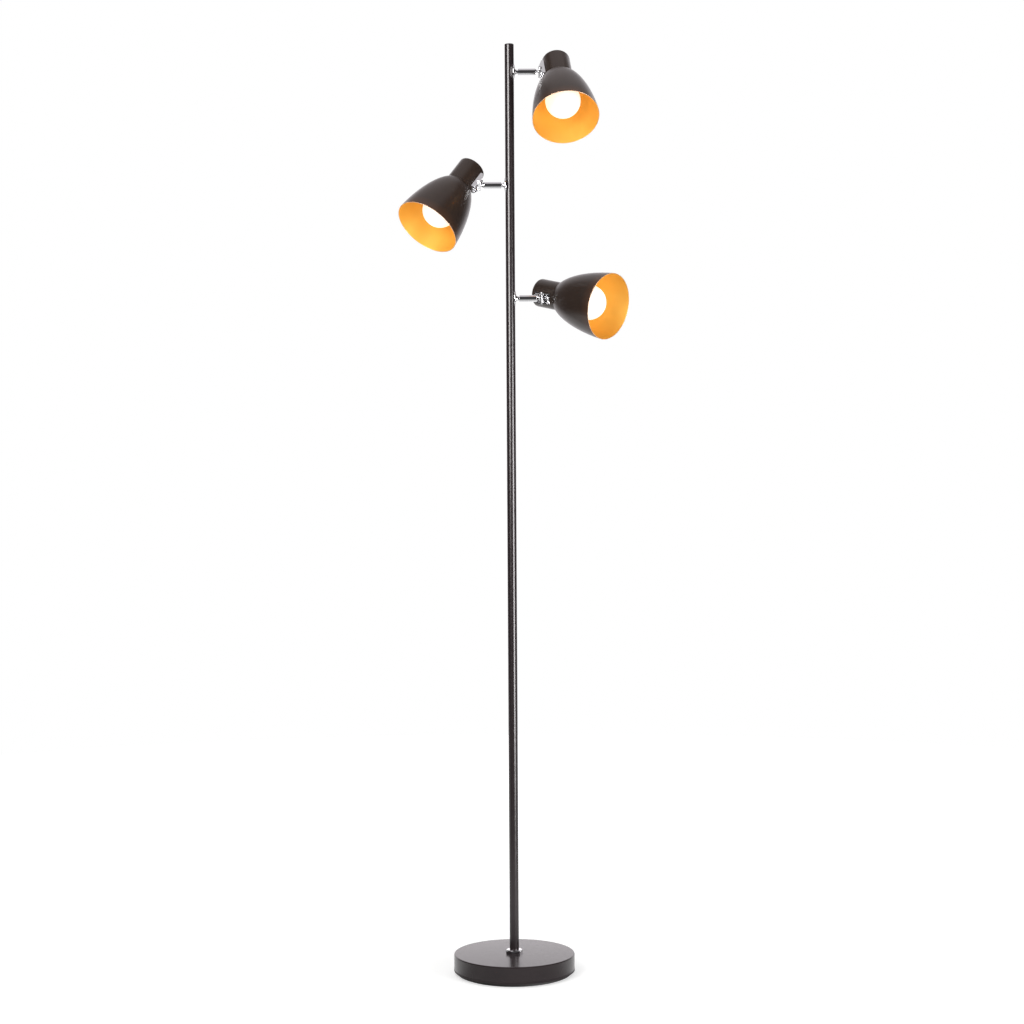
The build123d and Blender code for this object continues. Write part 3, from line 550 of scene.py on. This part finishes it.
cap_edge, dome_drop, cap_chamfer, cap_slack, spigot_length = 0.0012, 0.0002, 0.0002, 0.00005, 0.010
cap = turned(
    [
        (0, lamp_top), (0.003, lamp_top - 0.00005),
        *arc((pole_radius - cap_edge, lamp_top - cap_edge - dome_drop), cap_edge, 84, 0, 8),
        (pole_radius, pole_top + cap_chamfer), (pole_radius - cap_chamfer, pole_top),
        (pole_bore - cap_slack, pole_top), (pole_bore - cap_slack, pole_top - spigot_length),
        (0, pole_top - spigot_length),
    ],
    lacquer, 64,
)
shown("cap", cap, "stand", "black_lacquer", "pole_cap")
dress(zinc, "pole_couplers")

# ---------------------------------------------------------------------------------------------
# Supply lead and bushes: inside the base and pole, a round white flex runs up past the arms, and
# a turned brass bush lines the pole's wall at each arm.
# ---------------------------------------------------------------------------------------------
sleeve, shader = finish_of("wire_sleeve", (0.78, 0.78, 0.76), 0.38)
tint(sleeve, grain(sleeve, 90.0), (0.70, 0.70, 0.68), (0.82, 0.82, 0.80),
     shader.inputs["Base Color"])
spread(sleeve, grain(sleeve, 500.0), 0.32, 0.46, shader.inputs["Roughness"])
dress(sleeve, "supply_lead")

brass, shader = finish_of("turned_brass", (0.78, 0.57, 0.25), 0.25, 1.0)
tint(brass, grain(brass, 200.0), (0.68, 0.47, 0.19), (0.84, 0.63, 0.30),
     shader.inputs["Base Color"])
spread(brass, grain(brass, 600.0), 0.18, 0.34, shader.inputs["Roughness"])
dress(brass, "pole_bushes")

# ---------------------------------------------------------------------------------------------
# Rosettes: a turned and chromed washer, 28 mm across, seats each arm on the pole. It has a
# rounded bead, a groove and a trumpet-shaped hub, and its back is hollowed to fit the tube.
# ---------------------------------------------------------------------------------------------
washer_radius, hub_radius, hub_root, stud_bore = 0.014, 0.0048, 0.0085, 0.00306
bead_round, bead_in = 0.0012, 0.0114
# These are distances from the pole's axis.
back, groove, front, hub_end = 0.006, 0.0085, 0.0093, 0.0122
washer_profile = [
    (stud_bore, hub_end), (hub_radius - 0.0003, hub_end), (hub_radius, hub_end - 0.0003),
    *arc((hub_root, hub_end), hub_root - hub_radius, 185, 270, 10),
    (bead_in - 0.0006, groove), (bead_in - 0.0001, groove + 0.0002),
    (bead_in, front - 0.0003), (bead_in + 0.0003, front),
    *arc((washer_radius - bead_round, front - bead_round), bead_round, 90, 0, 8),
    *arc((washer_radius - bead_round, back + bead_round), bead_round, 0, -90, 8),
    (stud_bore, back), (stud_bore, hub_end),
]
# Each head: its turn about the arm from hanging straight down, and the angle between the arm
# and the direction that the shade faces, in degrees.
aims = {"top": (39.5, 84.5), "middle": (32.0, 59.8), "bottom": (70.5, 40.7)}
lie_along = turn_about("Y", 90)
arm_places = {}
for head, (swivel, _) in aims.items():
    on_pole = at(z=arms_at[head]) @ turn_about("Z", 0 if sides[head] > 0 else 180)
    arm_places[head] = on_pole @ turn_about("X", -sides[head] * swivel)
    washer = moved(turned(washer_profile, chrome, 96), lie_along)
    washer = carved(washer, bar(pole_radius + 0.00005, -0.02, 0.02, 64))
    shown("washer_" + head, moved(washer, on_pole), "stand", "chrome", "rosette_" + head)

# ---------------------------------------------------------------------------------------------
# Arms: a turned, chromed steel bar with a thin neck at the pole and a tapered stem that ends in
# the hinge barrel. It turns on a hollow stud and nut, and two thin wires run through it.
# ---------------------------------------------------------------------------------------------
neck_start, neck_end, arm_end, stem_start, hinge_reach = 0.0125, 0.015, 0.0445, 0.0485, 0.053
neck_radius, arm_radius, stem_radius, wire_bore = 0.0039, 0.006, 0.0026, 0.0019
arm_chamfer, shoulder_round, stem_cove = 0.0006, 0.0010, 0.0008
stud_seat, stud_seat_end = 0.00305, 0.02705
barrel_radius, barrel_half, barrel_chamfer, screw_bore = 0.0034, 0.0080, 0.0004, 0.00156
taper_facing = math.degrees(math.atan2(arm_radius - stem_radius, stem_start - arm_end))
cove_at = (stem_radius + stem_cove, stem_start + stem_cove * 0.37)
shoulder_at = (arm_radius - shoulder_round, arm_end - shoulder_round * 0.367)
arm_profile = [
    (0, hinge_reach), (stem_radius, hinge_reach), (stem_radius, stem_start + stem_cove * 0.4),
    *arc(cove_at, stem_cove, 180, 180 + taper_facing, 5),
    *arc(shoulder_at, shoulder_round, taper_facing, 0, 6),
    (arm_radius, neck_end + arm_chamfer), (arm_radius - arm_chamfer, neck_end),
    (neck_radius, neck_end), (neck_radius, neck_start), (0, neck_start),
]
barrel_face, barrel_side = barrel_radius - barrel_chamfer, barrel_half - barrel_chamfer
barrel_profile = [
    (0, barrel_half), (barrel_face, barrel_half), (barrel_radius, barrel_side),
    (barrel_radius, -barrel_side), (barrel_face, -barrel_half), (0, -barrel_half),
]
at_hinge = at(x=hinge_reach) @ turn_about("X", 90)

for head in aims:
    rod = moved(turned(arm_profile, chrome, 80), lie_along)
    barrel = moved(turned(barrel_profile, chrome, 64), at_hinge)
    rod = carved(rod, barrel, operation="UNION")
    wire_slot = bmesh.new()
    bmesh.ops.create_cube(wire_slot, size=2 * wire_bore)
    slot_mesh = bpy.data.meshes.new("wire_slot")
    wire_slot.to_mesh(slot_mesh)
    wire_slot.free()
    rod = carved(
        rod,
        moved(bar(stud_seat, 0.01, stud_seat_end), lie_along),
        moved(bar(wire_bore, 0.02, hinge_reach + 0.0002), lie_along),
        moved(bar(screw_bore, -0.01, 0.01, 32), at_hinge),
        moved(slot_mesh, at(x=hinge_reach + wire_bore)),
    )
    rod = moved(rod, arm_places[head])
    shown("rod_" + head, rod, head + "_arm", "chrome", "arm_" + head, corner=24)
    dress(zinc, "swivel_stud_" + head, "swivel_nut_" + head)
    dress(sleeve, "arm_wires_" + head)

# ---------------------------------------------------------------------------------------------
# Shades: a bell spun from 0.9 mm steel with a straight closed neck. It is satin black outside
# and satin gold inside, with a thin bare-gold line round the rim where the two coats meet.
# ---------------------------------------------------------------------------------------------


def new_tree(name, lengths, geometry, finishes):
    """A node tree with named inputs for its sizes, in metres, and its materials."""
    made = bpy.data.node_groups.new(name, "GeometryNodeTree")
    made.interface.new_socket(geometry, in_out="INPUT", socket_type="NodeSocketGeometry")
    for size_name, value in lengths.items():
        size = made.interface.new_socket(size_name, in_out="INPUT", socket_type="NodeSocketFloat")
        size.default_value = value
    for finish in finishes:
        made.interface.new_socket(finish, in_out="INPUT", socket_type="NodeSocketMaterial")
    made.interface.new_socket("Made", in_out="OUTPUT", socket_type="NodeSocketGeometry")
    made.nodes.new("NodeGroupInput").name = "sizes"
    return made


def sum_of(tree, *terms):
    """Adds sizes; a term is an input's name, a number, or a pair of a name and a factor."""
    total = None
    for term in terms:
        name, factor = term if isinstance(term, tuple) else (term, 1)
        value = tree.nodes["sizes"].outputs[name] if isinstance(name, str) else name
        if factor != 1:
            value = math_node(tree, "MULTIPLY", value, factor)
        total = value if total is None else math_node(tree, "ADD", total, value)
    return total


def spot(tree, radius, depth):
    """A profile point from the terms of its radius and of its depth below the top."""
    point = tree.nodes.new("ShaderNodeCombineXYZ")
    for axis, value in (("X", sum_of(tree, -ring_radius, *radius)), ("Y", sum_of(tree, *depth))):
        socket = point.inputs[axis]
        if isinstance(value, (int, float)):
            socket.default_value = value
        else:
            tree.links.new(value, socket)
    return point.outputs[0]


def run(tree, start, end):
    """A straight stretch of a profile."""
    line = tree.nodes.new("GeometryNodeCurvePrimitiveLine")
    tree.links.new(start, line.inputs["Start"])
    tree.links.new(end, line.inputs["End"])
    return line.outputs[0]


def bend(tree, start, one, two, end, steps):
    """A curved stretch of a profile, from its ends and their two handles."""
    made = tree.nodes.new("GeometryNodeCurvePrimitiveBezierSegment")
    made.inputs["Resolution"].default_value = steps
    for name, point in (("Start", start), ("Start Handle", one), ("End Handle", two), ("End", end)):
        tree.links.new(point, made.inputs[name])
    return made.outputs[0]


def swept(tree, parts, finish, steps, turn_round=False):
    """Profile parts swept round the axis, with their material."""
    join = tree.nodes.new("GeometryNodeJoinGeometry")
    for part in parts:
        tree.links.new(part, join.inputs[0])
    circle = tree.nodes.new("GeometryNodeCurvePrimitiveCircle")
    circle.inputs["Resolution"].default_value = steps
    circle.inputs["Radius"].default_value = ring_radius
    sweep = tree.nodes.new("GeometryNodeCurveToMesh")
    tree.links.new(circle.outputs[0], sweep.inputs["Curve"])
    tree.links.new(join.outputs[0], sweep.inputs["Profile Curve"])
    result = sweep.outputs[0]
    if turn_round:
        flip = tree.nodes.new("GeometryNodeFlipFaces")
        tree.links.new(result, flip.inputs[0])
        result = flip.outputs[0]
    skin = tree.nodes.new("GeometryNodeSetMaterial")
    tree.links.new(result, skin.inputs[0])
    tree.links.new(tree.nodes["sizes"].outputs[finish], skin.inputs["Material"])
    return skin.outputs[0]


def welded(tree, skins, gap):
    """Joins skins into one closed mesh."""
    whole = tree.nodes.new("GeometryNodeJoinGeometry")
    for skin in skins:
        tree.links.new(skin, whole.inputs[0])
    seam = tree.nodes.new("GeometryNodeMergeByDistance")
    seam.inputs["Distance"].default_value = gap
    tree.links.new(whole.outputs[0], seam.inputs[0])
    return seam.outputs[0]


spun = new_tree(
    "spun_bell",
    {
        "Length": 0.1511, "Neck Radius": 0.0243, "Neck Length": 0.0471, "Rim Radius": 0.0570,
        "Wall": 0.0009, "End Radius": 0.0030, "Flare Along": 0.0138, "Flare Out": 0.0146,
        "Mouth Back": 0.0497, "Mouth In": 0.00415,
    },
    "Seed", ("Outside", "Inside", "Edge"),
)
# A handle of this length, for a radius of 1, bends a curve into a quarter circle.
round_handle = 0.5523
bell_steps, flare_steps, corner_steps = 144, 64, 8


def bell_skin(inset, finish):
    """One side of the wall: end, rounded corner, neck and flare, swept round the axis."""
    rest_of_corner = ("End Radius", 1 - round_handle)
    across = [("Neck Radius", 1), ("End Radius", -1)]
    if inset:
        face, neck, rim = ["Wall"], ["Neck Radius", ("Wall", -1)], ["Rim Radius", ("Wall", -1)]
        handle = [("End Radius", round_handle), ("Wall", -round_handle)]
        corner_one = spot(spun, [*across, *handle], face)
        corner_two = spot(spun, neck, [rest_of_corner, ("Wall", round_handle)])
    else:
        face, neck, rim = [0.0], ["Neck Radius"], ["Rim Radius"]
        corner_one = spot(spun, [*across, ("End Radius", round_handle)], face)
        corner_two = spot(spun, neck, [rest_of_corner])
    shoulder = spot(spun, across, face)
    top = spot(spun, neck, ["End Radius"])
    root = spot(spun, neck, ["Neck Length"])
    flare_one = spot(spun, [*neck, "Flare Out"], ["Neck Length", "Flare Along"])
    flare_two = spot(spun, [*rim, ("Mouth In", -1)], ["Length", ("Mouth Back", -1)])
    mouth = spot(spun, rim, ["Length"])
    parts = (
        run(spun, spot(spun, [0.0], face), shoulder),
        bend(spun, shoulder, corner_one, corner_two, top, corner_steps),
        run(spun, top, root),
        bend(spun, root, flare_one, flare_two, mouth, flare_steps),
    )
    return swept(spun, parts, finish, bell_steps, inset), mouth


outer_skin, outer_mouth = bell_skin(False, "Outside")
inner_skin, inner_mouth = bell_skin(True, "Inside")
lip_one = spot(spun, ["Rim Radius"], ["Length", ("Wall", 0.6)])
lip_two = spot(spun, ["Rim Radius", ("Wall", -1)], ["Length", ("Wall", 0.6)])
lip_bend = bend(spun, outer_mouth, lip_one, lip_two, inner_mouth, corner_steps)
lip = swept(spun, [lip_bend], "Edge", bell_steps)
# Each point keeps its distance from the rim, for the warm glow painted on the outside near the
# edge.
position = spun.nodes.new("GeometryNodeInputPosition")
apart = spun.nodes.new("ShaderNodeSeparateXYZ")
spun.links.new(position.outputs[0], apart.inputs[0])
keep = spun.nodes.new("GeometryNodeStoreNamedAttribute")
keep.data_type, keep.domain = "FLOAT", "POINT"
keep.inputs["Name"].default_value = "from_rim"
spun.links.new(welded(spun, (outer_skin, inner_skin, lip), 3e-6), keep.inputs["Geometry"])
spun.links.new(sum_of(spun, "Length", apart.outputs["Z"]), keep.inputs["Value"])
solid = spun.nodes.new("GeometryNodeRealizeInstances")
spun.links.new(keep.outputs[0], solid.inputs[0])
bell_out = spun.nodes.new("NodeGroupOutput")
spun.links.new(solid.outputs[0], bell_out.inputs[0])

shade_black, shader = finish_of("shade_black", (0.022, 0.015, 0.012), 0.40)
shader.inputs["IOR"].default_value = 1.5
shader.inputs["Specular IOR Level"].default_value = 0.48
coat_colour = tint(shade_black, grain(shade_black, 22.0), (0.030, 0.0175, 0.0125),
                   (0.036, 0.0215, 0.0150), None)
spread(shade_black, grain(shade_black, 260.0), 0.29, 0.34, shader.inputs["Roughness"])
bumps(shade_black, grain(shade_black, 900.0, 2.0), 0.10, 0.00010, shader)
# Painted glow: the outside is painted warmer near the rim, like light from the gold inside,
# strongest at the rim and gone 18 mm from it.
from_rim = node_in(shade_black, "Attribute", attribute_name="from_rim").outputs["Fac"]
painted_rim_glow = spread(shade_black, from_rim, 0.55, 0.0, None, 0.0005, 0.018)
coat_with_rim_glow = blend(shade_black.node_tree, painted_rim_glow, coat_colour, (0.10, 0.042, 0.018))
shade_black.node_tree.links.new(coat_with_rim_glow, shader.inputs["Base Color"])

gold, shader = finish_of("shade_gold", (0.91, 0.51, 0.07), 0.48, 0.35)
tint(gold, grain(gold, 30.0), (0.90, 0.495, 0.062), (0.92, 0.525, 0.078),
     shader.inputs["Base Color"])
spread(gold, grain(gold, 400.0), 0.44, 0.52, shader.inputs["Roughness"])
bumps(gold, grain(gold, 1000.0, 2.0), 0.08, 0.0001, shader)

gold_edge, shader = finish_of("rim_gold", (0.90, 0.60, 0.38), 0.35, 0.3)
tint(gold_edge, grain(gold_edge, 150.0), (0.80, 0.50, 0.30), (0.95, 0.66, 0.44),
     shader.inputs["Base Color"])

bell_coats = {"Outside": shade_black, "Inside": gold, "Edge": gold_edge}
bell = made_by(spun, bpy.data.meshes.new("seed"), bell_coats)

neck_to_hinge, shade_axis = 0.028, 0.0303
neck_top = at(x=shade_axis, z=neck_to_hinge)
head_places = {
    head: arm_places[head] @ at(x=hinge_reach) @ turn_about("Y", tilt - 90)
    for head, (_, tilt) in aims.items()
}
for head, place in head_places.items():
    shade = moved(bell.copy(), place @ neck_top)
    shown("bell_" + head, shade, head + "_head", "shade_lacquer", "shade_" + head)

# ---------------------------------------------------------------------------------------------
# Brackets: a channel of 1.2 mm chromed steel on each neck. Two slotted screws hold it, and one
# hinge screw goes through each ear into the arm's barrel.
# ---------------------------------------------------------------------------------------------
screws = new_tree(
    "slotted_screws",
    {
        "Head Radius": 0.0028, "Head Height": 0.0016, "Shank Radius": 0.0015, "Shank Length": 0.006,
        "Slot Width": 0.0008, "Slot Depth": 0.0007,
    },
    "Points", ("Finish",),
)
crown = spot(screws, [("Head Radius", 0.45)], [0.0])
brow = spot(screws, ["Head Radius"], [("Head Height", 0.55)])
under = spot(screws, ["Head Radius"], ["Head Height"])
throat = spot(screws, ["Shank Radius"], ["Head Height"])
tail = spot(screws, ["Shank Radius"], ["Head Height", "Shank Length", ("Shank Radius", -0.4)])
tip = spot(screws, [("Shank Radius", 0.6)], ["Head Height", "Shank Length"])
screw_parts = (
    run(screws, spot(screws, [0.0], [0.0]), crown),
    bend(screws, crown, spot(screws, [("Head Radius", 0.78)], [0.0]),
         spot(screws, ["Head Radius"], [("Head Height", 0.25)]), brow, 8),
    run(screws, brow, under), run(screws, under, throat), run(screws, throat, tail),
    run(screws, tail, tip), run(screws, tip, spot(screws, [0.0], ["Head Height", "Shank Length"])),
)
blank = welded(screws, [swept(screws, screw_parts, "Finish", 40)], 1e-6)
slot_size = screws.nodes.new("ShaderNodeCombineXYZ")
for axis, size in (("X", ("Head Radius", 2.2)), ("Y", "Slot Width"), ("Z", ("Slot Depth", 2))):
    screws.links.new(sum_of(screws, size), slot_size.inputs[axis])
blade = screws.nodes.new("GeometryNodeMeshCube")
screws.links.new(slot_size.outputs[0], blade.inputs["Size"])
milling = screws.nodes.new("GeometryNodeMeshBoolean")
milling.operation = "DIFFERENCE"
screws.links.new(blank, milling.inputs[0])
screws.links.new(blade.outputs[0], milling.inputs[1])
aim = screws.nodes.new("FunctionNodeAxesToRotation")
aim.primary_axis, aim.secondary_axis = "Z", "X"
for socket, name in zip(aim.inputs, ("facing", "slot_line")):
    read = screws.nodes.new("GeometryNodeInputNamedAttribute")
    read.data_type = "FLOAT_VECTOR"
    read.inputs["Name"].default_value = name
    screws.links.new(read.outputs["Attribute"], socket)
fitting = screws.nodes.new("GeometryNodeInstanceOnPoints")
screws.links.new(screws.nodes["sizes"].outputs["Points"], fitting.inputs["Points"])
screws.links.new(milling.outputs[0], fitting.inputs["Instance"])
screws.links.new(aim.outputs[0], fitting.inputs["Rotation"])
real = screws.nodes.new("GeometryNodeRealizeInstances")
plated = screws.nodes.new("GeometryNodeSetMaterial")
screws_out = screws.nodes.new("NodeGroupOutput")
screws.links.new(fitting.outputs[0], real.inputs[0])
screws.links.new(real.outputs[0], plated.inputs[0])
screws.links.new(screws.nodes["sizes"].outputs["Finish"], plated.inputs["Material"])
screws.links.new(plated.outputs[0], screws_out.inputs[0])


def screw_set(tops, facings, slot_line, sizes):
    """Screws with their heads' tops at points, facing outwards."""
    points = bpy.data.meshes.new("screw_points")
    points.from_pydata(tops, [], [])
    for name, values in (("facing", facings), ("slot_line", [slot_line] * len(tops))):
        kept = points.attributes.new(name, "FLOAT_VECTOR", "POINT")
        kept.data.foreach_set("vector", [x for v in values for x in v])
    return made_by(screws, points, {**sizes, "Finish": chrome})


# These are distances from the hinge: the ears' outer faces and the hinge screws' tips along the
# barrel, the channel's inner face, its screws' tips and their two places along the neck.
ear_face, hinge_tip = 0.0095, 0.0036
channel_face, channel_tip, channel_screws_at = 0.00475, 0.0149, (0.016, -0.010)
hinge_size = {
    "Head Radius": 0.0028, "Head Height": 0.0016, "Shank Length": ear_face - hinge_tip,
}
channel_size = {
    "Head Radius": 0.0026, "Head Height": 0.0017, "Shank Length": channel_tip - channel_face,
}
hinge_top = ear_face + hinge_size["Head Height"]
channel_top = channel_face - channel_size["Head Height"]
for head, place in head_places.items():
    clip = softened("bracket_" + head, 0.00018)
    clip.materials.append(chrome)
    shown("clip_" + head, clip, head + "_head", "chrome", "bracket_" + head, corner=24)
    hinge_set = screw_set(
        [(0, s * hinge_top, 0) for s in (1, -1)], [(0, s, 0) for s in (1, -1)],
        (1, 0, 0), hinge_size,
    )
    shown("hinge_screws_set_" + head, moved(hinge_set, place), head + "_head", "chrome",
          "hinge_screws_" + head)
    channel_set = screw_set(
        [(channel_top, 0, z) for z in channel_screws_at], [(-1, 0, 0)] * 2,
        (0, 0, 1), channel_size,
    )
    shown("clip_screws_" + head, moved(channel_set, place), head + "_head", "chrome",
          "bracket_screws_" + head)

# ---------------------------------------------------------------------------------------------
# Lampholders: a moulded black cylinder in each neck, with a brass screw sleeve and centre
# contact, and the two wires that come in through the neck.
# ---------------------------------------------------------------------------------------------
for head in aims:
    dress(plastic, "lampholder_" + head)
    dress(brass, "holder_contacts_" + head)
    dress(sleeve, "holder_wires_" + head)

# ---------------------------------------------------------------------------------------------
# Bulbs: a 60 mm opal globe, lit, on a nickel-plated screw cap. The shell narrows in a smooth
# flare from the ball to the cap's rim, and a spigot on it stands in the cap.
# ---------------------------------------------------------------------------------------------
nickel, shader = finish_of("nickel_plate", (0.70, 0.68, 0.64), 0.25, 1.0)
spread(nickel, grain(nickel, 500.0), 0.18, 0.34, shader.inputs["Roughness"])

opal, shader = finish_of("opal_shell", (0.93, 0.92, 0.89), 0.30)
spread(opal, grain(opal, 300.0), 0.26, 0.36, shader.inputs["Roughness"])
shader.inputs["Emission Color"].default_value = (0.93, 0.97, 1.0, 1)
shader.inputs["Emission Strength"].default_value = 0.68

cap_rim, bulb_tip, ball, wall, shoulder = 0.056, 0.1381, 0.030, 0.0012, 0.0146
ball_at = bulb_tip - ball
flare_at, flare_hold = math.radians(50), 0.012


def globe_side(inset, steps):
    """Points from shoulder to tip, each a radius and a depth below the top of the neck."""
    radius = ball - inset
    start = (shoulder - inset, cap_rim + (wall if inset else 0))
    meet = (radius * math.sin(flare_at), ball_at - radius * math.cos(flare_at))
    one = (start[0], cap_rim + flare_hold)
    two = (meet[0] - flare_hold * math.cos(flare_at), meet[1] - flare_hold * math.sin(flare_at))
    flare = []
    for i in range(steps + 1):
        u = i / steps
        shares = ((1 - u) ** 3, 3 * u * (1 - u) ** 2, 3 * u * u * (1 - u), u**3)
        pulls = list(zip(shares, (start, one, two, meet)))
        flare.append(tuple(sum(share * p[j] for share, p in pulls) for j in (0, 1)))
    dome = []
    for i in range(1, 3 * steps + 1):
        a = flare_at + (math.pi - flare_at) * i / (3 * steps)
        dome.append((max(radius * math.sin(a), 0), ball_at - radius * math.cos(a)))
    return flare + dome


spigot, spigot_bore, spigot_at = 0.01205, 0.01085, 0.0506
section = [
    (spigot, cap_rim), *globe_side(0, 14), *globe_side(wall, 10)[::-1],
    (spigot_bore, cap_rim + wall), (spigot_bore, spigot_at), (spigot, spigot_at), (spigot, cap_rim),
]
globe = turned([(r, -t) for r, t in section], opal, 96)
for head, place in head_places.items():
    bulb = moved(globe.copy(), place @ neck_top)
    shown("globe_" + head, bulb, head + "_head", "opal", "bulb_globe_" + head)
    dress(nickel, "bulb_cap_" + head)
